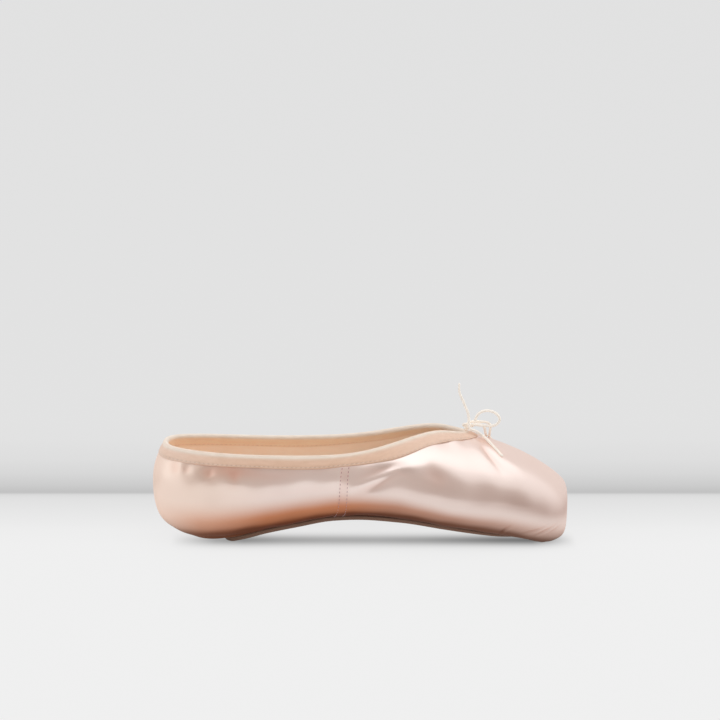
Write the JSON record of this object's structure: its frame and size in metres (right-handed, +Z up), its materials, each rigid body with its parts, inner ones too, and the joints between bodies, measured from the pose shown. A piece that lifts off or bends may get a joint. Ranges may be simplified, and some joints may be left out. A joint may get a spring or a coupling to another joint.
{
  "type": "pointe shoe",
  "caption": "Satin ballet slipper with a stiffened flat-tipped toe box, a low open collar bound with tape, a narrow leather sole and a tied drawstring.",
  "frame": {"origin": "on the floor, midway between the back of the heel and the tip of the toe and midway between the sides", "axes": "+X from the heel to the toe, +Y across the shoe, +Z up"},
  "size_m": [0.235, 0.074, 0.0898],
  "materials": {
    "satin": "pale pink satin weave, soft sheen",
    "binding_tape": "matte cotton tape",
    "sole_leather": "brown suede leather",
    "lining": "plain cotton lining",
    "drawstring": "matte braided cord"
  },
  "bodies": {
    "root": {"upper": "satin", "binding": "binding_tape", "sole": "sole_leather", "insole": "lining", "drawstring_knot": "drawstring", "drawstring_ends": "drawstring", "drawstring_loop": "drawstring", "drawstring_small_loop": "drawstring"}
  },
  "joints": []
}
